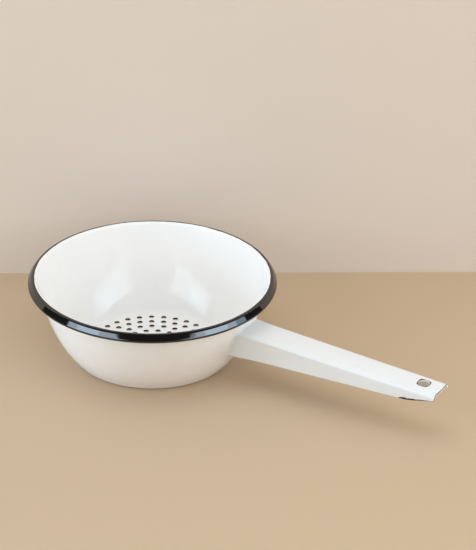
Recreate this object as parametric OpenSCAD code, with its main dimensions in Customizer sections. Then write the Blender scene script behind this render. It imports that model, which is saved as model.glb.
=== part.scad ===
// Enamelled steel colander with one channel handle.
// The origin is on the bowl's axis, on the surface that it stands on.
// The handle points along +X and +Z is up. Sizes are in millimetres.

/* [Bowl] */
// Height of the bowl, from the surface it stands on to its crest
bowl_height = 73; // [60:0.5:90]
// Radius of the flat perforated floor
floor_radius = 65; // [61:0.5:72]
// Radius of the bend between the floor and the wall, outside
corner_radius = 7; // [4:0.5:9]
// Angle at which the bend hands over to the wall, above the horizontal
corner_angle = 51; // [40:1:56]
// Angle of the wall where it reaches the rim, above the horizontal
wall_angle = 75; // [70:1:80]
// How firmly the wall keeps its direction at the bottom
wall_pull_low = 17; // [8:1:26]
// How firmly the wall keeps its direction at the top
wall_pull_high = 44; // [20:1:50]
// Thickness of the bowl's enamelled sheet
bowl_sheet = 1.2; // [0.9:0.05:1.5]

/* [Rim] */
// Radius of the bowl over its rolled rim
rim_radius = 106.5; // [100:0.5:120]
// Radius of the bend along the crest, outside
crest_radius = 3; // [2.7:0.1:3.2]
// Radius of the tight curl below the crest, outside
curl_radius = 1.8; // [1.7:0.1:2]
// Distance from the crest bend's centre out to the curl's centre
curl_reach = 3.1; // [2.8:0.1:3.6]
// Distance from the crest bend's centre down to the curl's centre
curl_drop = 2.3; // [2:0.1:3]
// Angle on the crest bend at which the black rim begins
colour_angle = 103; // [96:1:120]
// Angle on the curl at which its rolled edge ends
curl_end_angle = -190; // [-205:1:-150]

/* [Drain holes] */
// Diameter of one drain hole
drain_diameter = 4.4; // [3:0.1:5.5]
// Radius of the innermost ring of holes
first_ring_radius = 5.5; // [5:0.1:6.5]
// Distance from one ring of holes to the next
ring_pitch = 8.25; // [7.5:0.05:8.8]
// Distance between neighbouring holes round a ring
hole_spacing = 10.65; // [8:0.05:12]
// Number of rings of holes
ring_count = 7; // [3:1:7]
// Number of inner rings that are turned by half a step
half_step_rings = 4; // [0:1:7]
// Direction of the line that the holes are set out from
drain_phase = 123; // [0:1:359]

/* [Handle] */
// Distance from the bowl's axis to the handle's tip
handle_reach = 278; // [230:1:320]
// Height of the handle's back above the surface, at the bowl
handle_height = 52; // [45:0.5:56]
// Fall of the handle towards its tip, in degrees
handle_tilt = 1.8; // [0:0.1:3]
// Width of the handle next to the bowl
root_width = 30; // [24:0.5:34]
// Width of the handle at its tip
tip_width = 25.5; // [22:0.5:30]
// Extra width on each side where the handle meets the bowl
root_flare = 1.6; // [0:0.1:3]
// Length over which the flare runs out
flare_length = 20; // [10:1:40]
// Depth of the side walls next to the bowl
root_depth = 22.5; // [18:0.5:24]
// Depth of the side walls at the shoulder before the tip
shoulder_depth = 11.9; // [8:0.1:15]
// Distance from the shoulder to the tip
shoulder_length = 32; // [24:1:50]
// Depth of the side walls at the tip
tip_depth = 5.6; // [5:0.1:7]
// Radius that rounds the side walls' lower corners at the tip
tip_corner_radius = 4.5; // [2:0.5:5]
// How far the end bows out in the middle
end_bow = 2; // [0:0.1:3]
// Rise of the handle's back between its long edges
crown = 1.2; // [0.5:0.1:2]
// Radius of the long edges next to the bowl, outside
edge_radius_root = 2.6; // [2.2:0.1:4]
// Radius of the long edges at the tip, outside
edge_radius_tip = 5; // [2.5:0.1:6]
// Thickness of the handle's enamelled sheet
handle_sheet = 1.6; // [1.2:0.1:1.9]
// Diameter of the hanging hole
hanging_diameter = 10; // [7:0.5:12]
// Distance from the hanging hole's centre to the tip
hanging_inset = 17; // [13:0.5:24]

/* [Handle root] */
// Width of the tabs that are bent in against the bowl
tab_width = 8; // [5:0.5:9]
// Distance that the side tabs stop short of the back and the lower edge
tab_margin = 3.5; // [2:0.5:5]
// Size of the fillet that the weld and its enamel make round the root
weld_size = 2; // [1:0.1:3]
// Clearance between the root, its weld and the bowl
seat_clearance = 0.05; // [0.02:0.01:0.2]

/* [Hidden] */
$fn = 48;
turn_steps = 180;
wall_steps = 26;
bend_steps = 8;
side_steps = 5;
back_steps = 8;
body_rings = 20;
tip_rings = 7;
tip_share = 0.06;
least_side = 0.6;
tab_steps = 6;
fillet_steps = 4;
cut_margin = 1;

// Centres of the crest bend and of the curl, in the bowl's section
crest_centre = [rim_radius - curl_radius - curl_reach, bowl_height - crest_radius];
curl_centre = crest_centre + [curl_reach, -curl_drop];
// Direction that the flat stretch between the two bends faces
face_angle = acos((crest_radius - curl_radius) / norm([curl_reach, curl_drop]))
    - atan2(curl_drop, curl_reach);

function polar(angle) = [cos(angle), sin(angle)];
function mix(a, b, t) = a + (b - a) * t;
function ease(t) = t * t * (3 - 2 * t);
function limit(t) = max(0, min(1, t));
function between(a, b, steps) = [for (i = [0:steps]) mix(a, b, i / steps)];
function reversed(list) = [for (i = [len(list) - 1:-1:0]) list[i]];
function arc(centre, radius, from, to, steps) =
    [for (i = [0:steps]) centre + radius * polar(mix(from, to, i / steps))];

// The wall is one curve from the corner bend to the crest bend
corner_centre = [floor_radius, corner_radius];
wall_foot = corner_centre + corner_radius * polar(corner_angle - 90);
wall_head = crest_centre + (crest_radius - bowl_sheet) * polar(wall_angle + 90);
wall_low = wall_foot + wall_pull_low * polar(corner_angle);
wall_high = wall_head - wall_pull_high * polar(wall_angle);
function wall_point(t) = pow(1 - t, 3) * wall_foot + 3 * t * pow(1 - t, 2) * wall_low
    + 3 * t * t * (1 - t) * wall_high + pow(t, 3) * wall_head;
function wall_run(t) = pow(1 - t, 2) * (wall_low - wall_foot)
    + 2 * t * (1 - t) * (wall_high - wall_low) + t * t * (wall_head - wall_high);
function inward(run) = [-run[1], run[0]] / norm(run);
function wall_face(depth) = [for (i = [1:wall_steps - 1])
    wall_point(i / wall_steps) + depth * inward(wall_run(i / wall_steps))];

// One face of the bowl's sheet, from the floor's edge to the crest
function bowl_face(depth) = concat(
    arc(corner_centre, corner_radius - depth, -90, corner_angle - 90, bend_steps),
    wall_face(depth),
    arc(crest_centre, crest_radius - bowl_sheet + depth, wall_angle + 90, colour_angle, bend_steps));
outer_face = bowl_face(0);
inner_face = bowl_face(bowl_sheet);

// One face of the rim's sheet, from the crest to the curl's end
function rim_face(depth) = concat(
    arc(crest_centre, crest_radius - depth, colour_angle, face_angle, bend_steps),
    arc(curl_centre, curl_radius - depth, face_angle, curl_end_angle, 4 * bend_steps));

// Radius of the bowl's outside at a height
wall_table = [for (p = outer_face) [p[1], p[0]]];
function wall_radius(z) = lookup(z, wall_table);

// Shape of the handle's section at a distance x from the bowl's axis
root_x = wall_radius(handle_height);
shoulder_x = handle_reach - shoulder_length;
function along(x) = limit((x - root_x) / (handle_reach - root_x));
function back_z(x) = handle_height - (x - root_x) * tan(handle_tilt);
function flare(x) = root_flare * pow(limit(1 - (x - root_x) / flare_length), 2);
function half_width(x) = mix(root_width, tip_width, along(x)) / 2 + flare(x);
function edge_radius(x) = mix(edge_radius_root, edge_radius_tip, along(x));
function body_depth(x) = mix(root_depth, shoulder_depth, limit((x - root_x) / (shoulder_x - root_x)));
function tip_taper(x) = (shoulder_depth - tip_depth) * ease(limit((x - shoulder_x) / shoulder_length));
function corner_in(x) = max(0, min(tip_corner_radius, x - handle_reach + tip_corner_radius));
function corner_lift(x) = tip_corner_radius - sqrt(pow(tip_corner_radius, 2) - pow(corner_in(x), 2));
function side_depth(x) = body_depth(x) - tip_taper(x) - corner_lift(x);

// One half of the section's line, [across, above the back], depth below the outside
function edge_slope(w, r) = atan(2 * crown * (w - r) / (w * w));
function edge_start(w, r) = w - r * (1 - sin(edge_slope(w, r)));
function back_fall(y, w) = crown * pow(y / w, 2);
function edge_centre(w, r) =
    [w - r, -back_fall(edge_start(w, r), w) - r * cos(edge_slope(w, r))];
// Near the tip the side walls are so low that they end on the rounded long edge
function side_foot(x) = -crown - side_depth(x);
function edge_angle(x, above) = let (w = half_width(x), r = edge_radius(x))
    asin(limit((side_foot(x) + above - edge_centre(w, r)[1]) / r));
function half_back(x, depth) = let (w = half_width(x), y_end = edge_start(w, edge_radius(x)))
    [for (i = [0:back_steps / 2 - 1]) let (y = y_end * i / (back_steps / 2))
        [y, -back_fall(y, w) - depth]];
function half_edge(x, depth) = let (w = half_width(x), r = edge_radius(x))
    arc(edge_centre(w, r), r - depth, 90 - edge_slope(w, r), edge_angle(x, least_side), bend_steps / 2);
function half_side(x, depth) = let (w = half_width(x), r = edge_radius(x), centre = edge_centre(w, r))
    let (low = edge_angle(x, 0), start = centre + (r - depth) * polar(edge_angle(x, least_side)))
    let (foot = centre + (r - depth) * polar(low) + [0, min(0, side_foot(x) - centre[1])])
    [for (i = [1:side_steps]) mix(start, foot, i / side_steps)];
function half_line(x, depth) = concat(half_back(x, depth), half_edge(x, depth), half_side(x, depth));
half_count = len(half_line(handle_reach, 0));
line_count = 2 * half_count - 1;

// Point number i of the whole line, from the side at -Y over the back to the side at +Y
function mirrored(p, side) = [p[0] * side, p[1]];
function line_point(x, depth, i) = i < half_count
    ? mirrored(half_line(x, depth)[half_count - 1 - i], -1)
    : half_line(x, depth)[i - half_count + 1];
function in_space(x, p) = [x, p[0], back_z(x) + p[1]];

// Where a line along the handle, at y across and at height z, meets the bowl
function seat_x(y, z) = sqrt(pow(wall_radius(z), 2) - y * y) + seat_clearance;
function seat_under(p) = seat_x(p[1], p[2]);
function line_start(depth, i) = let (guess = seat_under(in_space(root_x, line_point(root_x, depth, i))))
    seat_under(in_space(guess, line_point(guess, depth, i)));
function line_end(depth, i) =
    handle_reach - end_bow * pow(line_point(handle_reach, depth, i)[0] / (tip_width / 2), 2);

// Rings of points along the handle, closer together at the tip
ring_shares = concat([for (i = [0:body_rings]) (1 - tip_share) * i / body_rings],
    [for (i = [1:tip_rings]) 1 - tip_share + tip_share * i / tip_rings]);
function line_ring(share, depth) = [for (i = [0:line_count - 1])
    let (x = mix(line_start(depth, i), line_end(depth, i), share)) in_space(x, line_point(x, depth, i))];
function handle_ring(share) = concat(line_ring(share, 0), reversed(line_ring(share, handle_sheet)));

// Triangles of a skin over closed rings of points, and of the caps at its ends
function quad(a, b, c, d) = [[a, b, c], [a, c, d]];
function skin(rings, size) = [for (k = [0:rings - 2], j = [0:size - 1]) let (n = (j + 1) % size)
    each quad(k * size + j, k * size + n, (k + 1) * size + n, (k + 1) * size + j)];
function strip_cap(size) = [for (i = [0:size / 2 - 2])
    each quad(i, size - 1 - i, size - 2 - i, i + 1)];
function shifted(faces, by) = [for (f = faces) [for (v = f) v + by]];
function turned(faces) = [for (f = faces) reversed(f)];
module loft(rings, cap) {
    size = len(rings[0]);
    last = (len(rings) - 1) * size;
    polyhedron(points = [for (ring = rings) each ring],
        faces = concat(skin(len(rings), size), cap, turned(shifted(cap, last))));
}

// Places of the drain holes
function ring_radius(k) = first_ring_radius + k * ring_pitch;
function ring_holes(k) = round(360 / (hole_spacing / ring_radius(k) * 180 / PI));
function ring_turn(k) = drain_phase + (k < half_step_rings ? 180 / ring_holes(k) : 0);

module drain_holes() {
    for (k = [0:ring_count - 1], i = [0:ring_holes(k) - 1])
        rotate(ring_turn(k) + 360 * i / ring_holes(k))
            translate([ring_radius(k), 0, -cut_margin])
                cylinder(d = drain_diameter, h = bowl_sheet + 2 * cut_margin);
}

// The pressed bowl, up to the line along its crest where the black rim begins
module bowl() {
    color("whitesmoke") difference() {
        rotate_extrude($fn = turn_steps)
            polygon(concat([[0, 0]], outer_face, reversed(inner_face), [[0, bowl_sheet]]));
        drain_holes();
    }
}

// The bowl's edge, bent over the crest, led down and out, and curled in below
module rolled_rim() {
    color("#2b2926") rotate_extrude($fn = turn_steps)
        polygon(concat(rim_face(0), reversed(rim_face(bowl_sheet))));
}

// Section of a tab that lies on the bowl, along a line of places [across, height]
function tab_ring(line) = concat([for (p = line) [seat_x(p[0], p[1]), p[0], p[1]]],
    [for (p = reversed(line)) [seat_x(p[0], p[1]) + handle_sheet, p[0], p[1]]]);

// A tab that is bent in from a side wall
module side_tab(side) {
    inner_y = half_width(root_x) - handle_sheet - tab_width;
    outer_y = half_width(root_x) - handle_sheet / 2;
    near_y = side > 0 ? inner_y : -outer_y;
    far_y = side > 0 ? outer_y : -inner_y;
    high = handle_height - crown - edge_radius_root - tab_margin;
    low = handle_height - crown - root_depth + tab_margin;
    loft([for (z = between(low, high, tab_steps))
        tab_ring([for (y = between(near_y, far_y, tab_steps)) [y, z]])],
        strip_cap(2 * tab_steps + 2));
}

// A tab that is bent down from the back
module back_tab() {
    reach_y = half_width(root_x) - handle_sheet - tab_width - tab_margin;
    low = handle_height - crown - handle_sheet - tab_width;
    loft([for (y = between(-reach_y, reach_y, tab_steps))
        let (high = handle_height - back_fall(y, half_width(root_x)) - handle_sheet / 2)
        tab_ring([for (z = between(high, low, tab_steps)) [y, z]])],
        strip_cap(2 * tab_steps + 2));
}

// The pressed channel, open below, with its root tabs and its hanging hole
module handle() {
    hole_x = handle_reach - hanging_inset;
    color("whitesmoke") difference() {
        union() {
            loft([for (share = ring_shares) handle_ring(share)], strip_cap(2 * line_count));
            side_tab(1);
            side_tab(-1);
            back_tab();
        }
        translate([hole_x, 0, back_z(hole_x)]) rotate([0, handle_tilt, 0])
            translate([0, 0, -handle_sheet - 2 * cut_margin])
                cylinder(d = hanging_diameter, h = handle_sheet + 3 * cut_margin);
    }
}

// Fillet section at point i of the handle's line: out across the bowl, back along the handle
function line_normal(i) = let (a = line_point(root_x, 0, max(i - 1, 0)),
    b = line_point(root_x, 0, min(i + 1, line_count - 1))) inward(b - a);
function fillet_point(i, out, on) = let (base = line_point(root_x, 0, i) + out * line_normal(i),
    guess = seat_under(in_space(root_x, base)),
    x = seat_under(in_space(guess, base)) + on) in_space(x, base);
function fillet_ring(i) = concat([fillet_point(i, seat_clearance, 0)],
    [for (j = [0:fillet_steps]) let (a = 90 * j / fillet_steps)
        fillet_point(i, seat_clearance + weld_size * (1 - cos(a)), weld_size * (1 - sin(a)))]);

// The weld round the root, smoothed over with enamel
module root_weld() {
    color("gainsboro")
        loft([for (i = [0:line_count - 1]) fillet_ring(i)],
            [for (j = [1:fillet_steps]) [0, j + 1, j]]);
}

bowl();
rolled_rim();
handle();
root_weld();
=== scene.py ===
"""Looks of an enamelled steel colander with one long channel handle.

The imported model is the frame. Each of its nodes is replaced by a finer piece of the same size, with
soft edges and fired enamel. Lengths are in metres, +X runs along the handle and +Z is up.
"""

import functools
import math

import bmesh
import bpy
from bpy.props import FloatProperty, FloatVectorProperty, IntProperty, PointerProperty
from mathutils import Matrix, Vector


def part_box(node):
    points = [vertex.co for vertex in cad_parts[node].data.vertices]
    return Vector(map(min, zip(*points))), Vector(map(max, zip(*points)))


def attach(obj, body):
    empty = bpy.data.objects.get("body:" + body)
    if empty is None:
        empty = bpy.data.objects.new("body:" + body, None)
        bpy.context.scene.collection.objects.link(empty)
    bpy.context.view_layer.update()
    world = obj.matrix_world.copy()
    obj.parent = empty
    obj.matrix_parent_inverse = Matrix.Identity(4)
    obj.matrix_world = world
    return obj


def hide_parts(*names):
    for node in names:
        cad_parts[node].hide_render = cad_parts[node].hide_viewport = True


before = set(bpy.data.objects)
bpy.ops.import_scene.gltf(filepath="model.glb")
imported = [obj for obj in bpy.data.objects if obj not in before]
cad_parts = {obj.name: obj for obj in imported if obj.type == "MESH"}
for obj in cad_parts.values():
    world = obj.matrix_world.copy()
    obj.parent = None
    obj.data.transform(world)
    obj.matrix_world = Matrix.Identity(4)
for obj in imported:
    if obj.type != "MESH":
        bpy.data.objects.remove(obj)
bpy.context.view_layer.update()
RIM_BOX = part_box("rolled_rim")
HANDLE_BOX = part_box("handle")

bl_info = {
    "name": "Enamel colander",
    "version": (1, 0, 0),
    "blender": (4, 5, 0),
    "location": "3D Viewport > Sidebar > Colander",
    "description": "Models an enamelled colander and sets it on a plain stage",
    "category": "Add Mesh",
}

UP = Vector((0, 0, 1))
DOWN = Vector((0, 0, -1))
MERGE_DISTANCE = 1e-6
SHARP_ANGLE = math.radians(50)

# Steps round the bowl's axis, and in its section from the floor to the end of the rim's curl
TURN_STEPS = 256
CORNER_STEPS = 14
WALL_STEPS = 44
LIP_STEPS = 16
CREST_STEPS = 24
CURL_STEPS = 46
# The curl's last step is long, to leave room for the rounding of its edge
LAST_CURL_STEP = math.radians(40)

# Sides of a drain hole, and segments in the rounding of its edges and of a sheet's cut edge
DRAIN_HOLE_SIDES = 24
HOLE_EDGE_SEGMENTS = 3
CUT_EDGE_SEGMENTS = 4

# Steps across one half of the handle: its back, its long edge and its side wall
BACK_STEPS = 8
EDGE_STEPS = 7
SIDE_STEPS = 3
# What is left of the side wall below the rounded long edge
LEAST_SIDE = 0.0015

# Steps along the handle: up to the hanging hole's patch, from the hole's centre to the patch's end,
# from there to the rounded lower corners, and along these to the tip
BODY_STEPS = 40
PATCH_STEPS = 6
SHOULDER_STEPS = 5
TIP_STEPS = 4
# How the last steps crowd towards the tip: evenly at 1
TIP_CROWDING = 1.5

TAB_STEPS = 5
FILLET_STEPS = 8

# The attribute that holds how much dark coat shows at a vertex, from 0 to 1: the ground coat where the
# enamel is thin on a cut edge, and at the drain holes also painted shade for the shadow inside them
DARK_COAT_ATTRIBUTE = "thin_enamel"
# How thin it is on the handle's cut edges away from the tip
THIN_AWAY_FROM_TIP = 0.15
# The least lean, away from the channel's inside, of a corner where it is thin: the lean's cosine
OUTWARD_LEAN = 1 / 6

# Noise scales of the coat's waves, its ripples and its cloudiness, and how high the ripples are
WAVE_SCALE = 38
RIPPLE_SCALE = 260
RIPPLE_SHARE = 0.04
CLOUD_SCALE = 60
# The cloudy colour's darkest and lightest shade, as shares of the enamel's own
CLOUD_DEEP = 0.975
CLOUD_PALE = 1.02
# Clouds from 0 to 1 lie in this range of the ramp and give a roughness from 0.03 to 0.08
CLOUD_RANGE = (-1.5, 6.0)
ROUGHNESS_TOP = 0.3
BUMP_STRENGTH = 0.35
BUMP_DISTANCE = 0.001

# The brushed line between white and black: its noise scale, wobble and blur, in radians round the
# crest. Seen from the crest's centre, the black ends below in this direction.
BRUSH_SCALE = 95
BRUSH_WOBBLE = 0.35
BRUSH_BLUR = 0.012
BLACK_END = math.radians(-102)

# The dark coat's patches, which at the drain holes are also painted shade: their noise scale, where
# they start, and the width of their blur
PATCH_SCALE = 420
DARK_COAT_START = 1.75
DARK_COAT_BLUR = 0.2

# A low index of refraction keeps the white's reflections soft
WHITE_IOR = 1.33
RIM_IOR = 1.75

FLOOR_SIZE = 12
PAPER_ROUGHNESS = 0.9
PAPER_SPECULAR = 0.1

# Strength of the room's light, and of the room as gloss shows it
ROOM_LEVEL = 0.54
ROOM_IN_GLOSS = 0.06
LIGHT_TINT = (0.955, 0.98, 1.0)
COOL_TINT = (0.72, 1.0, 1.28)
MATT = ("matt",)
GLOSS = ("gloss",)
BOTH = ("matt", "gloss")
# Bearing and rise in degrees, distance, width and height in metres, power in watts, tint, and the
# surfaces that a lamp reaches
LAMPS = {
    "softbox_left": (-52, 26, 1.5, 1.40, 0.70, 5.9, LIGHT_TINT, BOTH),
    "softbox_right": (52, 26, 1.5, 1.40, 0.70, 6.2, LIGHT_TINT, BOTH),
    "shine_left": (-53, 27, 1.45, 1.35, 0.65, 6.0, COOL_TINT, GLOSS),
    "shine_right": (60, 26, 1.45, 1.50, 0.65, 7.0, COOL_TINT, GLOSS),
    "core_left": (-62, 31, 1.4, 0.45, 0.35, 0.9, COOL_TINT, GLOSS),
    "core_right": (61, 31, 1.4, 0.45, 0.35, 0.8, COOL_TINT, GLOSS),
    "low_fill_left": (-95, 8, 1.5, 1.20, 0.50, 13.0, COOL_TINT, MATT),
    "low_fill_right": (100, 12, 1.5, 1.20, 0.50, 6.0, LIGHT_TINT, MATT),
    "top_fill": (0, 88, 1.8, 1.60, 1.60, 10.5, LIGHT_TINT, MATT),
}


def length(name, description, default):
    """A property that holds a length in metres."""
    return FloatProperty(
        name=name, description=description, default=default, min=0, precision=5, unit="LENGTH"
    )


def angle(name, description, degrees):
    """A property that holds an angle, given here in degrees."""
    return FloatProperty(
        name=name, description=description, default=math.radians(degrees), subtype="ANGLE"
    )


def colour(name, description, default):
    """A property that holds a linear colour."""
    return FloatVectorProperty(
        name=name, description=description, default=default, size=3, min=0, max=1, subtype="COLOR"
    )


class BowlSizes(bpy.types.PropertyGroup):
    """Sizes of the pressed bowl and its drain holes."""

    height: length("Height", "From the surface it stands on to the crest", RIM_BOX[1].z)
    floor_radius: length("Floor radius", "Radius of the flat perforated floor", 0.065)
    corner_radius: length("Corner radius", "Bend between the floor and the wall, outside", 0.007)
    corner_angle: angle("Corner angle", "Slope where the bend hands over to the wall", 51)
    wall_angle: angle("Wall angle", "Slope of the wall where it reaches the rim", 75)
    wall_pull_low: length("Lower pull", "How firmly the wall keeps its direction at the bottom", 0.017)
    wall_pull_high: length("Upper pull", "How firmly the wall keeps its direction at the top", 0.044)
    sheet: length("Sheet", "Thickness of the enamelled sheet", 0.0012)
    hole_radius: length("Hole radius", "Radius of a drain hole", 0.0022)
    hole_edge: length("Hole edge", "Rounding of the enamel at a drain hole's edges", 0.0003)
    bead_width: length("Bead width", "Width of the enamel bead round a drain hole", 0.0008)
    bead_height: length("Bead height", "Height of the enamel bead round a drain hole", 0.00035)
    first_ring: length("First ring", "Radius of the innermost ring of holes", 0.0055)
    ring_pitch: length("Ring pitch", "From one ring of holes to the next", 0.00825)
    hole_spacing: length("Hole spacing", "Between neighbouring holes round a ring", 0.01065)
    ring_count: IntProperty(name="Rings", description="Number of rings of holes", default=7, min=1)
    half_step_rings: IntProperty(
        name="Turned rings", description="Inner rings turned by half a step", default=4
    )
    phase: angle("Phase", "Direction that the holes are set out from", 123)


class RimSizes(bpy.types.PropertyGroup):
    """Sizes of the rolled rim."""

    radius: length("Radius", "Radius of the bowl over its rim", RIM_BOX[1].x)
    crest_radius: length("Crest radius", "Bend along the crest, outside", 0.003)
    curl_radius: length("Curl radius", "Tight curl below the crest, outside", 0.0018)
    curl_reach: length("Curl reach", "From the crest bend's centre out to the curl's", 0.0031)
    curl_drop: length("Curl drop", "From the crest bend's centre down to the curl's", 0.0023)
    colour_angle: angle("Colour angle", "Place on the crest where the black enamel begins", 103)
    curl_end: angle("Curl end", "Place on the curl where the rolled edge ends", -190)


class HandleSizes(bpy.types.PropertyGroup):
    """Sizes of the channel handle and its weld."""

    reach: length("Reach", "From the bowl's axis to the tip", HANDLE_BOX[1].x)
    height: length("Height", "Height of the back at the bowl", 0.052)
    tilt: angle("Fall", "Fall of the handle towards its tip", 1.8)
    root_width: length("Root width", "Width next to the bowl", 0.030)
    tip_width: length("Tip width", "Width at the tip", 0.0255)
    flare: length("Flare", "Extra width on each side at the bowl", 0.0016)
    flare_length: length("Flare length", "Length over which the flare runs out", 0.020)
    root_depth: length("Root depth", "Depth of the side walls at the bowl", 0.0225)
    shoulder_depth: length("Shoulder depth", "Depth of the side walls at the shoulder", 0.0119)
    shoulder_length: length("Shoulder length", "From the shoulder to the tip", 0.032)
    tip_depth: length("Tip depth", "Depth of the side walls at the tip", 0.0056)
    tip_corner: length("Tip corner", "Rounding of the side walls' lower corners", 0.0045)
    end_bow: length("End bow", "How far the end bows out in the middle", 0.002)
    crown: length("Crown", "Rise of the back between its long edges", 0.0012)
    root_edge: length("Root edge", "Radius of the long edges at the bowl", 0.0026)
    tip_edge: length("Tip edge", "Radius of the long edges at the tip", 0.005)
    sheet: length("Sheet", "Thickness of the enamelled sheet", 0.0016)
    cut_edge: length("Cut edge", "Rounding of the enamel over a cut edge", 0.0004)
    hole_radius: length("Hole radius", "Radius of the hanging hole", 0.005)
    hole_inset: length("Hole inset", "From the hanging hole's centre to the tip", 0.017)
    tab_width: length("Tab width", "Width of the tabs against the bowl", 0.008)
    tab_margin: length("Tab margin", "How far the tabs stop short of an edge", 0.0035)
    weld: length("Weld", "Size of the enamelled weld's fillet", 0.002)
    clearance: length("Clearance", "Between the root, its weld and the bowl", 0.00005)


class EnamelColours(bpy.types.PropertyGroup):
    """Colours of the enamel and of the stage."""

    white: colour("White", "Enamel of the bowl", (0.90, 0.897, 0.88))
    # The handle's white is a darker, cooler copy of the bowl's: painted shade and bluish light on the
    # same enamel
    handle_white_cool_shaded: colour("Handle white, cool and shaded", "Enamel of the handle", (0.825, 0.845, 0.845))
    black: colour("Black", "Enamel of the rim", (0.004, 0.0036, 0.0033))
    # Dark coat: the ground coat through thin enamel on cut edges, and at the drain holes also painted
    # shade for the shadow inside them
    ground_coat: colour(
        "Ground coat", "Dark coat that shows where the enamel is thin", (0.035, 0.028, 0.024)
    )
    floor: colour("Floor", "Floor of the stage", (0.575, 0.435, 0.293))
    wall: colour("Wall", "Backdrop of the stage", (0.752, 0.662, 0.575))


class StageSizes(bpy.types.PropertyGroup):
    """Where the camera and the backdrop stand."""

    turn: angle("Turn", "From the picture's right to the handle's direction", 32)
    camera_distance: length("Camera distance", "From the bowl's axis, along the floor", 2.0)
    camera_height: length("Camera height", "Above the floor", 1.14976)
    camera_pitch: angle("Camera pitch", "How far the camera looks down", 28.284)
    camera_yaw: angle("Camera yaw", "How far the camera looks right of the bowl", 2.093)
    camera_roll: angle("Camera roll", "How far the camera leans", 0.813)
    lens: FloatProperty(name="Lens", description="Focal length in millimetres", default=173.86, min=1)
    wall_distance: length("Wall distance", "From the bowl's axis to the backdrop", 0.14)
    wall_width: length("Wall width", "Width and height of the backdrop", 1.1)


def polar(direction):
    """The way of length 1 in this direction."""
    return Vector((math.cos(direction), math.sin(direction)))


def mix(a, b, share):
    """The number or point that lies this share of the way from a to b."""
    return a + (b - a) * share


def between(start, end, steps):
    """The numbers or points from start to end in even steps."""
    return [mix(start, end, i / steps) for i in range(steps + 1)]


def arc(centre, radius, start, end, steps):
    """Points along an arc, from one direction to another in even steps."""
    return [centre + radius * polar(direction) for direction in between(start, end, steps)]


def limit(share):
    """The number kept between 0 and 1."""
    return max(0.0, min(1.0, share))


def sizes():
    """The sizes of the bowl, the rim and the handle."""
    return (
        bpy.context.scene.colander_bowl,
        bpy.context.scene.colander_rim,
        bpy.context.scene.colander_handle,
    )


def crest_centre():
    """Centre of the crest's bend in the bowl's section: [radius, height]."""
    bowl, rim, _ = sizes()
    return Vector((rim.radius - rim.curl_radius - rim.curl_reach, bowl.height - rim.crest_radius))


def wall_line():
    """The bowl's outer line in its section, from the floor's edge to the crest: [radius, height]."""
    bowl, rim, _ = sizes()
    corner = Vector((bowl.floor_radius, bowl.corner_radius))
    foot = corner + bowl.corner_radius * polar(bowl.corner_angle - math.pi / 2)
    crest = crest_centre()
    inner_crest = rim.crest_radius - bowl.sheet
    head = crest + inner_crest * polar(bowl.wall_angle + math.pi / 2)
    low = foot + bowl.wall_pull_low * polar(bowl.corner_angle)
    high = head - bowl.wall_pull_high * polar(bowl.wall_angle)
    wall = []
    for t in between(0.0, 1.0, WALL_STEPS):
        rest = 1 - t
        wall.append(rest**3 * foot + 3 * t * rest**2 * low + 3 * t * t * rest * high + t**3 * head)
    bend = arc(
        corner, bowl.corner_radius, -math.pi / 2, bowl.corner_angle - math.pi / 2, CORNER_STEPS
    )
    lip = arc(crest, inner_crest, bowl.wall_angle + math.pi / 2, rim.colour_angle, LIP_STEPS)
    return bend + wall[1:-1] + lip


def rim_line():
    """The rolled rim's outer line in its section, from the crest to the curl's end."""
    _, rim, _ = sizes()
    crest = crest_centre()
    curl = crest + Vector((rim.curl_reach, -rim.curl_drop))
    gap = math.hypot(rim.curl_reach, rim.curl_drop)
    spread = math.acos((rim.crest_radius - rim.curl_radius) / gap)
    face = spread - math.atan2(rim.curl_drop, rim.curl_reach)
    bend = arc(crest, rim.crest_radius, rim.colour_angle, face, CREST_STEPS)
    roll = arc(curl, rim.curl_radius, face, rim.curl_end + LAST_CURL_STEP, CURL_STEPS)
    return bend + roll + [curl + rim.curl_radius * polar(rim.curl_end)]


def start_piece(name, place):
    """Adds a mesh of one vertex at a place, and leaves it selected in edit mode."""
    bpy.ops.object.select_all(action="DESELECT")
    bpy.ops.mesh.primitive_plane_add(size=0.01)
    piece = bpy.context.object
    piece.name = name
    piece.data.name = name
    bpy.ops.object.mode_set(mode="EDIT")
    bpy.ops.mesh.select_mode(type="VERT")
    bpy.ops.mesh.select_all(action="SELECT")
    bpy.ops.mesh.merge(type="CENTER")
    bpy.ops.transform.translate(value=place)
    return piece


def draw(places):
    """Extrudes the selected vertex from the first place through the others."""
    for here, there in zip(places, places[1:]):
        bpy.ops.mesh.extrude_region_move(TRANSFORM_OT_translate={"value": there - here})


def seat(piece, drawn, places):
    """Moves the selected vertices from where they were drawn to their own places."""
    mesh = bmesh.from_edit_mesh(piece.data)
    chosen = [vertex for vertex in mesh.verts if vertex.select]
    found = [min(chosen, key=lambda vertex: (vertex.co - here).length_squared) for here in drawn]
    for vertex, place in zip(found, places, strict=True):
        vertex.co = place
    bmesh.update_edit_mesh(piece.data)


def sweep(piece, rings):
    """Extrudes the selected line from the first ring of places through the others."""
    for here, there in zip(rings, rings[1:]):
        step = there[0] - here[0]
        bpy.ops.mesh.extrude_region_move(TRANSFORM_OT_translate={"value": step})
        seat(piece, [place + step for place in here], there)


def pick(piece, kind, test):
    """Selects the vertices, edges or faces that pass a test, and nothing else."""
    bpy.ops.mesh.select_mode(type={"verts": "VERT", "edges": "EDGE", "faces": "FACE"}[kind])
    bpy.ops.mesh.select_all(action="DESELECT")
    mesh = bmesh.from_edit_mesh(piece.data)
    for element in getattr(mesh, kind):
        element.select_set(test(element))
    mesh.select_flush_mode()
    bmesh.update_edit_mesh(piece.data)


def middle(element):
    """The middle of an edge or a face."""
    return sum((vertex.co for vertex in element.verts), Vector()) / len(element.verts)


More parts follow.
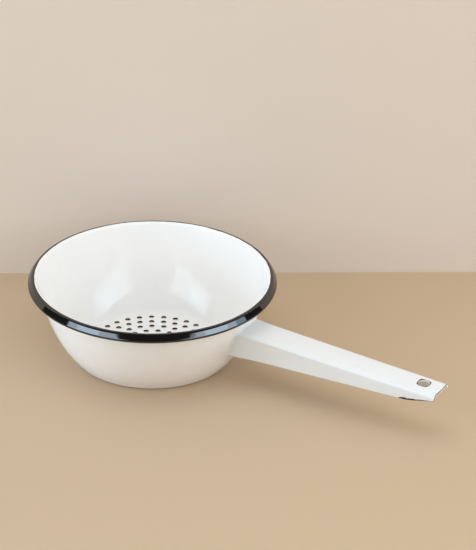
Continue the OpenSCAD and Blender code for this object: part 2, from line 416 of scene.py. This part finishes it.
def is_sharp(edge):
    """Whether the faces on both sides of an edge meet at a sharp angle."""
    return len(edge.link_faces) == 2 and edge.calc_face_angle() > SHARP_ANGLE


def apply(piece, kind, **settings):
    """Adds a modifier with these settings to a piece in object mode, and applies it."""
    modifier = piece.modifiers.new(kind.title(), kind)
    for key, value in settings.items():
        setattr(modifier, key, value)
    bpy.ops.object.modifier_apply(modifier=modifier.name)


def turn_outwards(piece, way):
    """Turns a sheet's faces to its outside, so that the one farthest along a way looks along it."""
    bpy.ops.mesh.select_all(action="SELECT")
    bpy.ops.mesh.normals_make_consistent(inside=False)
    mesh = bmesh.from_edit_mesh(piece.data)
    farthest = max(mesh.faces, key=lambda face: middle(face) @ way)
    if farthest.normal @ way < 0:
        bpy.ops.mesh.flip_normals()


def thicken(piece, thickness, way):
    """Gives a drawn sheet its thickness, inwards from the outer face that looks along a way."""
    turn_outwards(piece, way)
    bpy.ops.object.mode_set(mode="OBJECT")
    apply(
        piece,
        "SOLIDIFY",
        thickness=thickness,
        offset=-1,
        use_even_offset=True,
        use_quality_normals=True,
    )
    bpy.ops.object.mode_set(mode="EDIT")


def spin_line(name, line):
    """A sheet turned round the bowl's axis from a line in its section."""
    places = [Vector((radius, 0, height)) for radius, height in line]
    piece = start_piece(name, places[0])
    draw(places)
    bpy.ops.mesh.select_all(action="SELECT")
    bpy.ops.mesh.spin(
        steps=TURN_STEPS, angle=math.tau, center=(0, 0, 0), axis=(0, 0, 1), use_auto_merge=True
    )
    bpy.ops.mesh.select_all(action="SELECT")
    bpy.ops.mesh.remove_doubles(threshold=MERGE_DISTANCE)
    return piece


def soften(piece, test, size, segments, dark_coat_share):
    """Rounds the sharp edges that pass a test, and notes how much dark coat shows at each vertex: thin
    enamel over the ground coat, and at the drain holes also painted shade.
    """
    pick(piece, "edges", lambda edge: is_sharp(edge) and test(middle(edge)))
    bpy.ops.mesh.bevel(
        offset=size, offset_type="OFFSET", segments=segments, profile=0.5, clamp_overlap=False
    )
    bpy.ops.object.mode_set(mode="OBJECT")
    dark_coat = piece.data.attributes.new(DARK_COAT_ATTRIBUTE, "FLOAT", "POINT")
    for vertex, value in zip(piece.data.vertices, dark_coat.data):
        value.value = dark_coat_share(vertex)


def finish_piece(piece, material, node):
    """Shades a piece smoothly, gives it its enamel, and lets it stand for a node of the frame."""
    bpy.ops.object.select_all(action="DESELECT")
    piece.select_set(True)
    bpy.context.view_layer.objects.active = piece
    bpy.ops.object.shade_smooth_by_angle(angle=SHARP_ANGLE)
    apply(piece, "WEIGHTED_NORMAL", keep_sharp=True)
    piece.data.materials.clear()
    piece.data.materials.append(material)
    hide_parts(node)
    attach(piece, "root")


def hole_places():
    """Centres of the drain holes, ring by ring."""
    bowl, _, _ = sizes()
    places = []
    for ring in range(bowl.ring_count):
        radius = bowl.first_ring + ring * bowl.ring_pitch
        count = round(math.tau * radius / bowl.hole_spacing)
        start = bowl.phase + (math.pi / count if ring < bowl.half_step_rings else 0)
        for i in range(count):
            places.append(radius * polar(start + math.tau * i / count))
    return places


def from_nearest(places, point):
    """The way to a point, in plan, from the nearest of these places."""
    return min((point.xy - place for place in places), key=lambda way: way.length_squared)


def draw_in_circles(piece, places):
    """Extrudes the floor's open circles inwards to the drain holes, and leaves a ring for each bead."""
    bowl, _, _ = sizes()
    pick(
        piece,
        "edges",
        lambda edge: edge.is_boundary and middle(edge).xy.length < bowl.floor_radius,
    )
    bpy.ops.mesh.extrude_region_move(TRANSFORM_OT_translate={"value": Vector()})
    mesh = bmesh.from_edit_mesh(piece.data)
    for vertex in mesh.verts:
        if vertex.select:
            way = from_nearest(places, vertex.co)
            vertex.co.xy += (bowl.hole_radius - way.length) * way.normalized()
    bmesh.update_edit_mesh(piece.data)


def model_bowl():
    """The pressed bowl: a turned wall, and a flat floor filled in round its drain holes."""
    bowl, _, _ = sizes()
    piece = spin_line("enamelled_bowl", wall_line())
    places = hole_places()
    for place in places:
        bpy.ops.mesh.primitive_circle_add(
            vertices=DRAIN_HOLE_SIDES,
            radius=bowl.hole_radius + bowl.bead_width,
            location=(*place, 0),
        )
    reach = bowl.floor_radius + MERGE_DISTANCE

    def in_floor(vertex):
        return vertex.co.xy.length < reach and vertex.co.z < MERGE_DISTANCE

    pick(piece, "edges", lambda edge: all(in_floor(vertex) for vertex in edge.verts))
    bpy.ops.mesh.fill(use_beauty=True)
    draw_in_circles(piece, places)
    thicken(piece, bowl.sheet, DOWN)

    def at_hole(place, margin):
        on_floor = place.xy.length < bowl.floor_radius
        return on_floor and from_nearest(places, place).length < bowl.hole_radius + margin

    mesh = bmesh.from_edit_mesh(piece.data)
    for vertex in mesh.verts:
        if vertex.co.z > bowl.sheet / 2 and at_hole(vertex.co, bowl.bead_width / 2):
            vertex.co.z += bowl.bead_height
    bmesh.update_edit_mesh(piece.data)
    # Dark coat on the drain holes' edges: partly the ground coat on a cut edge, partly painted shade
    # that stands in for the shadow inside the holes
    hole_coat_reach = bowl.hole_edge / 2
    soften(
        piece,
        lambda place: place.xy.length < bowl.floor_radius,
        bowl.hole_edge,
        HOLE_EDGE_SEGMENTS,
        lambda vertex: float(vertex.co.z > 0 and at_hole(vertex.co, hole_coat_reach)),
    )
    return piece


def model_rim():
    """The bowl's edge, bent over the crest and curled in below."""
    bowl, _, _ = sizes()
    piece = spin_line("black_rim", rim_line())
    thicken(piece, bowl.sheet, UP)
    below_crest = bowl.height - 2 * bowl.sheet
    edge_rounding = bowl.sheet / 4
    soften(
        piece,
        lambda place: place.z < below_crest,
        edge_rounding,
        CUT_EDGE_SEGMENTS,
        lambda vertex: float(vertex.select),
    )
    return piece


@functools.cache
def seat_line():
    """The bowl's outer line that the handle is seated on, worked out once for a piece."""
    return wall_line()


def wall_radius(height):
    """Radius of the bowl's outside at a height."""
    line = seat_line()
    for low, high in zip(line, line[1:]):
        if low.y <= height <= high.y:
            return mix(low.x, high.x, (height - low.y) / (high.y - low.y))
    return line[-1].x


def seat_under(place):
    """How far from the bowl's axis a line along the handle, through a place, meets the bowl."""
    _, _, handle = sizes()
    return math.sqrt(wall_radius(place.z) ** 2 - place.y**2) + handle.clearance


def back_height(x):
    """Height of the handle's back at its middle line."""
    _, _, handle = sizes()
    return handle.height - (x - wall_radius(handle.height)) * math.tan(handle.tilt)


def half_width(x):
    """Half the handle's width at x, with the flare at its root."""
    _, _, handle = sizes()
    root = wall_radius(handle.height)
    flare = handle.flare * limit(1 - (x - root) / handle.flare_length) ** 2
    share = limit((x - root) / (handle.reach - root))
    return mix(handle.root_width, handle.tip_width, share) / 2 + flare


def side_depth(x):
    """Depth of the side walls, below the back's long edges."""
    _, _, handle = sizes()
    root = wall_radius(handle.height)
    shoulder = handle.reach - handle.shoulder_length
    body = mix(handle.root_depth, handle.shoulder_depth, limit((x - root) / (shoulder - root)))
    run = limit((x - shoulder) / handle.shoulder_length)
    taper = (handle.shoulder_depth - handle.tip_depth) * run * run * (3 - 2 * run)
    corner = handle.tip_corner
    inside = max(0.0, min(corner, x - handle.reach + corner))
    return body - taper - (corner - math.sqrt(corner**2 - inside**2))


def back_fall(x, across):
    """How far the crowned back has fallen at a distance from its middle line."""
    _, _, handle = sizes()
    return handle.crown * (across / half_width(x)) ** 2


def half_section(x):
    """One half of the handle's section at x, from the back's middle to the side's lower edge."""
    _, _, handle = sizes()
    root = wall_radius(handle.height)
    width = half_width(x)
    radius = mix(handle.root_edge, handle.tip_edge, limit((x - root) / (handle.reach - root)))
    slope = math.atan(2 * handle.crown * (width - radius) / width**2)
    flat_end = width - radius * (1 - math.sin(slope))
    centre = Vector((width - radius, -back_fall(x, flat_end) - radius * math.cos(slope)))
    foot = -handle.crown - side_depth(x)
    stop = math.asin(limit((foot + LEAST_SIDE - centre.y) / radius))
    low = centre + radius * polar(math.asin(limit((foot - centre.y) / radius)))
    low.y += min(0.0, foot - centre.y)
    back = [Vector((across, -back_fall(x, across))) for across in between(0.0, flat_end, BACK_STEPS)]
    edge = arc(centre, radius, math.pi / 2 - slope, stop, EDGE_STEPS)
    side = between(edge[-1], low, SIDE_STEPS)
    return back + edge[1:] + side[1:]


def section(x):
    """The handle's whole section at x, from the side at -Y over the back to the side at +Y."""
    half = half_section(x)
    return [Vector((-across, height)) for across, height in reversed(half[1:])] + half


def in_space(x, point):
    """A point of the handle's section at x, in the frame."""
    return Vector((x, point.x, back_height(x) + point.y))


def hole_patch():
    """The hanging hole's centre along the handle, and half the side of the patch cut round it."""
    _, _, handle = sizes()
    hole = handle.reach - handle.hole_inset
    return hole, half_section(hole)[PATCH_STEPS].x


def handle_stations():
    """Places along the handle for its sections, closer together at the hanging hole and the tip."""
    _, _, handle = sizes()
    hole, patch = hole_patch()
    tip_start = handle.reach - handle.tip_corner
    stations = between(wall_radius(handle.height), hole - patch, BODY_STEPS)
    stations += between(hole - patch, hole + patch, 2 * PATCH_STEPS)[1:]
    stations += between(hole + patch, tip_start, SHOULDER_STEPS)[1:]
    for share in between(0.0, 1.0, TIP_STEPS)[1:]:
        stations.append(tip_start + handle.tip_corner * (1 - (1 - share) ** TIP_CROWDING))
    return stations


def handle_rings():
    """Rings of places along the handle, from the bowl's wall to the bowed tip."""
    _, _, handle = sizes()
    root = wall_radius(handle.height)
    guesses = [seat_under(in_space(root, point)) for point in section(root)]
    starts = [seat_under(in_space(guess, section(guess)[i])) for i, guess in enumerate(guesses)]
    end = section(handle.reach)
    ends = [handle.reach - handle.end_bow * (2 * point.x / handle.tip_width) ** 2 for point in end]
    rings = []
    for station in handle_stations():
        share = (station - root) / (handle.reach - root)
        places = []
        for i, (start, stop) in enumerate(zip(starts, ends)):
            x = mix(start, stop, share)
            places.append(in_space(x, section(x)[i]))
        rings.append(places)
    return rings


def cut_hanging_hole(piece):
    """Opens the back round the hanging hole and draws its edge in to a circle."""
    _, _, handle = sizes()
    hole, patch = hole_patch()
    half_step = patch / PATCH_STEPS / 2

    def in_patch(place, margin):
        near = max(abs(place.x - hole), abs(place.y)) < patch + margin
        return near and place.z > back_height(place.x) - 2 * handle.crown

    def is_open(edge):
        return edge.is_boundary or edge.is_wire

    pick(piece, "faces", lambda face: in_patch(middle(face), 0))
    bpy.ops.mesh.delete(type="FACE")
    bpy.ops.mesh.primitive_circle_add(
        vertices=8 * PATCH_STEPS,
        radius=handle.hole_radius,
        location=(hole, 0, back_height(hole)),
    )
    pick(piece, "edges", lambda edge: is_open(edge) and in_patch(middle(edge), half_step))
    bpy.ops.mesh.bridge_edge_loops(number_cuts=1, interpolation="LINEAR")
    mesh = bmesh.from_edit_mesh(piece.data)
    for vertex in mesh.verts:
        if in_patch(vertex.co, -half_step):
            vertex.co.z = back_height(vertex.co.x) - back_fall(vertex.co.x, vertex.co.y)
    bmesh.update_edit_mesh(piece.data)


def bend_tab(piece, test, step):
    """Extrudes the root edges that pass a test along the bowl, step by step."""
    pick(piece, "edges", lambda edge: edge.is_boundary and test(middle(edge)))
    for _ in range(TAB_STEPS):
        bpy.ops.mesh.extrude_region_move(TRANSFORM_OT_translate={"value": step})
        mesh = bmesh.from_edit_mesh(piece.data)
        for vertex in mesh.verts:
            if vertex.select:
                vertex.co.x = seat_under(vertex.co)
        bmesh.update_edit_mesh(piece.data)


def bend_tabs(piece):
    """Bends the three tabs at the handle's root in against the bowl, from its sides and its back."""
    _, _, handle = sizes()
    near_root = wall_radius(handle.height) + handle.sheet
    low = handle.height - handle.crown - handle.root_depth + handle.tab_margin
    high = handle.height - handle.crown - handle.root_edge - handle.tab_margin
    for side in (-1, 1):
        bend_tab(
            piece,
            lambda place: place.x < near_root and low < place.z < high and place.y * side > 0,
            Vector((0, -side * handle.tab_width / TAB_STEPS, 0)),
        )
    back_reach = handle.root_width / 2 - handle.sheet - handle.tab_width
    bend_tab(
        piece,
        lambda place: place.x < near_root and abs(place.y) < back_reach and place.z > high,
        Vector((0, 0, -handle.tab_width / TAB_STEPS)),
    )


def model_handle():
    """The pressed channel, open below, with its hanging hole and the tabs at its root."""
    _, _, handle = sizes()
    seat_line.cache_clear()
    rings = handle_rings()
    piece = start_piece("channel_handle", rings[0][0])
    draw(rings[0])
    pick(piece, "verts", lambda vertex: True)
    sweep(piece, rings)
    cut_hanging_hole(piece)
    bend_tabs(piece)
    thicken(piece, handle.sheet, UP)

    def dark_coat_share(vertex):
        """The ground coat shows at the outer corner of a cut edge, most of all at the tip."""
        x = vertex.co.x
        outwards = vertex.co - Vector((x, 0, back_height(x) - handle.tip_depth))
        if not vertex.select or vertex.normal @ outwards < outwards.length * OUTWARD_LEAN:
            return 0.0
        return 1.0 if x > handle.reach - handle.shoulder_length else THIN_AWAY_FROM_TIP

    soften(piece, lambda place: True, handle.cut_edge, CUT_EDGE_SEGMENTS, dark_coat_share)
    return piece


def model_weld():
    """The weld round the handle's root, smoothed over with enamel into a fillet."""
    _, _, handle = sizes()
    seat_line.cache_clear()
    root = wall_radius(handle.height)
    outline = [(0.0, 0.0)]
    for turn in between(0.0, math.pi / 2, FILLET_STEPS):
        outline.append((handle.weld * (1 - math.cos(turn)), handle.weld * (1 - math.sin(turn))))
    line = section(root)
    rings = []
    for i, point in enumerate(line):
        before, after = line[max(i - 1, 0)], line[min(i + 1, len(line) - 1)]
        run = (after - before).normalized()
        normal = Vector((-run.y, run.x))
        ring = []
        for out, along in outline:
            base = point + (handle.clearance + out) * normal
            guess = seat_under(in_space(root, base))
            x = seat_under(in_space(guess, base)) + along
            ring.append(in_space(x, base))
        rings.append(ring)
    piece = start_piece("root_fillet", rings[0][0])
    draw(rings[0])
    pick(piece, "verts", lambda vertex: True)
    bpy.ops.mesh.edge_face_add()
    sweep(piece, rings)
    bpy.ops.mesh.select_all(action="SELECT")
    bpy.ops.mesh.normals_make_consistent(inside=False)
    bpy.ops.object.mode_set(mode="OBJECT")
    return piece


def opaque(shade):
    """A colour with its alpha."""
    return (*shade, 1)


def feed(tree, socket, value):
    """Gives an input a value, or links it to the output that is given instead."""
    if isinstance(value, bpy.types.NodeSocket):
        tree.links.new(value, socket)
    else:
        socket.default_value = value


def new_group(name, inputs, outputs):
    """An empty shader node group, with its input and output nodes."""
    group = bpy.data.node_groups.new(name, "ShaderNodeTree")
    for socket, kind, default in inputs:
        made = group.interface.new_socket(name=socket, in_out="INPUT", socket_type=kind)
        made.default_value = default
    for socket, kind in outputs:
        group.interface.new_socket(name=socket, in_out="OUTPUT", socket_type=kind)
    return group, group.nodes.new("NodeGroupInput"), group.nodes.new("NodeGroupOutput")


def math_node(tree, operation, *values):
    """The output of a math node whose inputs are numbers or sockets."""
    node = tree.nodes.new("ShaderNodeMath")
    node.operation = operation
    for socket, value in zip(node.inputs, values):
        feed(tree, socket, value)
    return node.outputs[0]


def noise_node(tree, vector, scale, detail):
    """The output of a noise texture, from 0 to 1."""
    node = tree.nodes.new("ShaderNodeTexNoise")
    node.inputs["Scale"].default_value = scale
    node.inputs["Detail"].default_value = detail
    tree.links.new(vector, node.inputs["Vector"])
    return node.outputs["Fac"]


def ramp_node(tree, value, start, end):
    """Maps start to end onto 0 to 1, smoothly."""
    node = tree.nodes.new("ShaderNodeMapRange")
    node.interpolation_type = "SMOOTHSTEP"
    feed(tree, node.inputs["From Min"], start)
    feed(tree, node.inputs["From Max"], end)
    tree.links.new(value, node.inputs["Value"])
    return node.outputs["Result"]


def mix_colours(tree, factor, first, second):
    """A colour mix of two colours or sockets."""
    node = tree.nodes.new("ShaderNodeMix")
    node.data_type = "RGBA"
    tree.links.new(factor, node.inputs["Factor"])
    # The colour sockets share their names with those for numbers and vectors
    colour_a, colour_b, colour_result = node.inputs[6], node.inputs[7], node.outputs[2]
    feed(tree, colour_a, first)
    feed(tree, colour_b, second)
    return colour_result


def build_unevenness(name):
    """Node group: the slow waves and the faint cloudiness of a fired enamel coat."""
    group, entry, leave = new_group(
        name,
        [("Vector", "NodeSocketVector", (0, 0, 0))],
        [("Height", "NodeSocketFloat"), ("Cloud", "NodeSocketFloat")],
    )
    place = entry.outputs["Vector"]
    waves = noise_node(group, place, WAVE_SCALE, detail=1)
    ripples = noise_node(group, place, RIPPLE_SCALE, detail=2)
    ripples = math_node(group, "MULTIPLY", ripples, RIPPLE_SHARE)
    group.links.new(math_node(group, "ADD", waves, ripples), leave.inputs["Height"])
    group.links.new(noise_node(group, place, CLOUD_SCALE, detail=3), leave.inputs["Cloud"])
    return group


def build_rim_mask(name):
    """Node group: 1 where the black lies over the crest, with the brushed line's small wobble."""
    _, rim, _ = sizes()
    group, entry, leave = new_group(
        name, [("Vector", "NodeSocketVector", (0, 0, 0))], [("Black", "NodeSocketFloat")]
    )
    centre = crest_centre()
    split = group.nodes.new("ShaderNodeSeparateXYZ")
    group.links.new(entry.outputs["Vector"], split.inputs[0])
    x, y, z = split.outputs
    x_squared = math_node(group, "MULTIPLY", x, x)
    y_squared = math_node(group, "MULTIPLY", y, y)
    radius = math_node(group, "SQRT", math_node(group, "ADD", x_squared, y_squared))
    out = math_node(group, "SUBTRACT", radius, centre.x)
    up = math_node(group, "SUBTRACT", z, centre.y)
    turn = math_node(group, "ARCTAN2", up, out)
    noise = noise_node(group, entry.outputs["Vector"], BRUSH_SCALE, detail=2)
    wobble = math_node(group, "MULTIPLY", math_node(group, "SUBTRACT", noise, 0.5), BRUSH_WOBBLE)
    brushed = math_node(group, "ADD", turn, wobble)
    white = ramp_node(group, brushed, rim.colour_angle - BRUSH_BLUR, rim.colour_angle + BRUSH_BLUR)
    black = math_node(group, "SUBTRACT", 1.0, white)
    on_rim = math_node(group, "GREATER_THAN", turn, BLACK_END)
    group.links.new(math_node(group, "MULTIPLY", black, on_rim), leave.inputs["Black"])
    return group


def build_dark_coat(name):
    """Node group: 1 where the dark coat shows on a cut edge: the ground coat through thin enamel, and
    at the drain holes also painted shade.
    """
    group, entry, leave = new_group(
        name,
        [("Vector", "NodeSocketVector", (0, 0, 0)), ("Amount", "NodeSocketFloat", 0.5)],
        [("Bare", "NodeSocketFloat")],
    )
    dark_coat = group.nodes.new("ShaderNodeAttribute")
    dark_coat.attribute_name = DARK_COAT_ATTRIBUTE
    patches = noise_node(group, entry.outputs["Vector"], PATCH_SCALE, detail=3)
    reach = math_node(group, "ADD", dark_coat.outputs["Fac"], patches)
    start = math_node(group, "SUBTRACT", DARK_COAT_START, entry.outputs["Amount"])
    end = math_node(group, "ADD", start, DARK_COAT_BLUR)
    group.links.new(ramp_node(group, reach, start, end), leave.inputs["Bare"])
    return group


def place_group(tree, name, build, **inputs):
    """Places a shared node group, which is built the first time that it is asked for."""
    node = tree.nodes.new("ShaderNodeGroup")
    node.node_tree = bpy.data.node_groups.get(name) or build(name)
    for socket, value in inputs.items():
        feed(tree, node.inputs[socket], value)
    return node


def enamel(name, white, with_rim, edge_amount, ior):
    """A glossy enamel: its base coat, the black of the rim, and the dark coat at the edges, which at
    the drain holes is also painted shade.
    """
    colours = bpy.context.scene.colander_colours
    material = bpy.data.materials.new(name)
    material.use_nodes = True
    tree = material.node_tree
    shader = tree.nodes["Principled BSDF"]
    place = tree.nodes.new("ShaderNodeTexCoord").outputs["Object"]
    uneven = place_group(tree, "enamel_unevenness", build_unevenness, Vector=place)
    cloud = uneven.outputs["Cloud"]
    pale = tuple(min(1.0, CLOUD_PALE * channel) for channel in white)
    deep = tuple(CLOUD_DEEP * channel for channel in white)
    shade = mix_colours(tree, cloud, opaque(deep), opaque(pale))
    dark_coat = place_group(
        tree, "ground_coat_at_edges", build_dark_coat, Vector=place, Amount=edge_amount
    )
    shade = mix_colours(tree, dark_coat.outputs["Bare"], shade, opaque(colours.ground_coat))
    if with_rim:
        mask = place_group(tree, "black_over_crest", build_rim_mask, Vector=place)
        shade = mix_colours(tree, mask.outputs["Black"], shade, opaque(colours.black))
    tree.links.new(shade, shader.inputs["Base Color"])
    roughness = math_node(tree, "MULTIPLY", ramp_node(tree, cloud, *CLOUD_RANGE), ROUGHNESS_TOP)
    tree.links.new(roughness, shader.inputs["Roughness"])
    shader.inputs["IOR"].default_value = ior
    bump = tree.nodes.new("ShaderNodeBump")
    bump.inputs["Strength"].default_value = BUMP_STRENGTH
    bump.inputs["Distance"].default_value = BUMP_DISTANCE
    tree.links.new(uneven.outputs["Height"], bump.inputs["Height"])
    tree.links.new(bump.outputs["Normal"], shader.inputs["Normal"])
    return material


def plain(name, shade):
    """A matt surface of the stage, which a camera behind it looks through."""
    material = bpy.data.materials.new(name)
    material.use_nodes = True
    tree = material.node_tree
    shader = tree.nodes["Principled BSDF"]
    shader.inputs["Base Color"].default_value = opaque(shade)
    shader.inputs["Roughness"].default_value = PAPER_ROUGHNESS
    shader.inputs["Specular IOR Level"].default_value = PAPER_SPECULAR
    behind = tree.nodes.new("ShaderNodeNewGeometry").outputs["Backfacing"]
    clear = tree.nodes.new("ShaderNodeBsdfTransparent")
    choice = tree.nodes.new("ShaderNodeMixShader")
    tree.links.new(behind, choice.inputs[0])
    tree.links.new(shader.outputs[0], choice.inputs[1])
    tree.links.new(clear.outputs[0], choice.inputs[2])
    tree.links.new(choice.outputs[0], tree.nodes["Material Output"].inputs["Surface"])
    return material


def set_floor_and_wall():
    """A wide floor and an upright backdrop behind the bowl."""
    stage = bpy.context.scene.colander_stage
    colours = bpy.context.scene.colander_colours
    bpy.ops.object.select_all(action="DESELECT")
    bpy.ops.mesh.primitive_plane_add(size=FLOOR_SIZE)
    floor = bpy.context.object
    floor.name = "floor"
    floor.data.materials.append(plain("floor_paper", colours.floor))
    away = Matrix.Rotation(stage.turn, 4, "Z") @ Vector((0, stage.wall_distance, 0))
    bpy.ops.mesh.primitive_plane_add(
        size=stage.wall_width,
        location=(away.x, away.y, stage.wall_width / 2),
        rotation=(math.pi / 2, 0, stage.turn),
    )
    wall = bpy.context.object
    wall.name = "wall"
    wall.data.materials.append(plain("wall_paint", colours.wall))


def set_camera():
    """The photograph's own view: the camera stands in front of the bowl and looks down on it."""
    stage = bpy.context.scene.colander_stage
    bpy.ops.object.camera_add()
    camera = bpy.context.object
    turn = Matrix.Rotation(stage.turn, 4, "Z")
    stand = turn @ Vector((0, -stage.camera_distance, stage.camera_height))
    look = (
        Matrix.Rotation(stage.turn - stage.camera_yaw, 4, "Z")
        @ Matrix.Rotation(math.pi / 2 - stage.camera_pitch, 4, "X")
        @ Matrix.Rotation(stage.camera_roll, 4, "Z")
    )
    camera.matrix_world = Matrix.Translation(stand) @ look
    camera.data.lens = stage.lens
    bpy.context.scene.camera = camera


def add_lamp(name, bearing, rise, distance, width, height, power, tint, kinds):
    """A rectangular lamp at a bearing from the camera's side, facing the bowl."""
    stage = bpy.context.scene.colander_stage
    rise = math.radians(rise)
    turn = Matrix.Rotation(stage.turn + math.radians(bearing), 4, "Z")
    direction = turn @ Vector((0, -math.cos(rise), math.sin(rise)))
    bpy.ops.object.light_add(type="AREA", location=direction * distance)
    lamp = bpy.context.object
    lamp.name = name
    lamp.rotation_euler = direction.to_track_quat("Z", "Y").to_euler()
    lamp.data.shape = "RECTANGLE"
    lamp.data.size = width
    lamp.data.size_y = height
    lamp.data.energy = power
    lamp.data.color = tint
    lamp.visible_glossy = "gloss" in kinds
    lamp.visible_diffuse = "matt" in kinds


def set_lights():
    """Two softboxes in front, with a shine and a bright core that only gloss shows, three fills
    that only matt surfaces show, and a room that is darker in gloss."""
    for name, values in LAMPS.items():
        add_lamp(name, *values)
    world = bpy.data.worlds.new("room")
    bpy.context.scene.world = world
    world.use_nodes = True
    tree = world.node_tree
    background = tree.nodes["Background"]
    background.inputs["Color"].default_value = opaque(LIGHT_TINT)
    in_gloss = tree.nodes.new("ShaderNodeLightPath").outputs["Is Glossy Ray"]
    darkening = math_node(tree, "MULTIPLY", in_gloss, ROOM_LEVEL - ROOM_IN_GLOSS)
    strength = math_node(tree, "SUBTRACT", ROOM_LEVEL, darkening)
    tree.links.new(strength, background.inputs["Strength"])


class COLANDER_OT_stage(bpy.types.Operator):
    """Set the camera, the floor, the backdrop and the lamps"""

    bl_idname = "colander.stage"
    bl_label = "Set the stage"

    def execute(self, context):
        set_camera()
        set_floor_and_wall()
        set_lights()
        context.scene.view_settings.view_transform = "Standard"
        return {"FINISHED"}


class COLANDER_OT_bowl(bpy.types.Operator):
    """Model the pressed bowl with its drain holes"""

    bl_idname = "colander.bowl"
    bl_label = "Bowl"

    def execute(self, context):
        white = context.scene.colander_colours.white
        # The bowl's dark coat at the drain holes is partly painted shade
        material = enamel("bowl_enamel", white, with_rim=True, edge_amount=0.6, ior=WHITE_IOR)
        finish_piece(model_bowl(), material, "bowl")
        return {"FINISHED"}


class COLANDER_OT_rim(bpy.types.Operator):
    """Model the rolled rim"""

    bl_idname = "colander.rim"
    bl_label = "Rolled rim"

    def execute(self, context):
        white = context.scene.colander_colours.white
        material = enamel("rim_enamel", white, with_rim=True, edge_amount=0.3, ior=RIM_IOR)
        finish_piece(model_rim(), material, "rolled_rim")
        return {"FINISHED"}


class COLANDER_OT_handle(bpy.types.Operator):
    """Model the channel handle"""

    bl_idname = "colander.handle"
    bl_label = "Handle"

    def execute(self, context):
        # A darker, cooler white than the bowl's: painted shade and bluish light on the handle
        white = context.scene.colander_colours.handle_white_cool_shaded
        material = enamel("handle_enamel", white, with_rim=False, edge_amount=1.0, ior=WHITE_IOR)
        finish_piece(model_handle(), material, "handle")
        return {"FINISHED"}


class COLANDER_OT_weld(bpy.types.Operator):
    """Model the enamelled weld round the handle's root"""

    bl_idname = "colander.weld"
    bl_label = "Root weld"

    def execute(self, context):
        # The weld takes the handle's white, with its painted shade and bluish light
        white = context.scene.colander_colours.handle_white_cool_shaded
        material = enamel("weld_enamel", white, with_rim=False, edge_amount=0.0, ior=WHITE_IOR)
        finish_piece(model_weld(), material, "root_weld")
        return {"FINISHED"}


class COLANDER_PT_panel(bpy.types.Panel):
    """Lists the colander's pieces and sizes"""

    bl_idname = "COLANDER_PT_panel"
    bl_label = "Colander"
    bl_space_type = "VIEW_3D"
    bl_region_type = "UI"
    bl_category = "Colander"

    def draw(self, context):
        for group in GROUPS:
            box = self.layout.box()
            settings = getattr(context.scene, group)
            for key in settings.bl_rna.properties.keys():
                if key not in ("rna_type", "name"):
                    box.prop(settings, key)
        for operator in OPERATORS:
            self.layout.operator(operator.bl_idname)


GROUPS = {
    "colander_bowl": BowlSizes,
    "colander_rim": RimSizes,
    "colander_handle": HandleSizes,
    "colander_colours": EnamelColours,
    "colander_stage": StageSizes,
}
OPERATORS = (
    COLANDER_OT_stage,
    COLANDER_OT_bowl,
    COLANDER_OT_rim,
    COLANDER_OT_handle,
    COLANDER_OT_weld,
)
CLASSES = (*GROUPS.values(), *OPERATORS, COLANDER_PT_panel)


def register():
    for cls in CLASSES:
        bpy.utils.register_class(cls)
    for name, group in GROUPS.items():
        setattr(bpy.types.Scene, name, PointerProperty(type=group))


def unregister():
    for name in GROUPS:
        delattr(bpy.types.Scene, name)
    for cls in reversed(CLASSES):
        bpy.utils.unregister_class(cls)


def main():
    """Models the colander and sets its stage."""
    register()
    bpy.ops.colander.stage()
    bpy.ops.colander.bowl()
    bpy.ops.colander.rim()
    bpy.ops.colander.handle()
    bpy.ops.colander.weld()


if __name__ == "__main__":
    main()
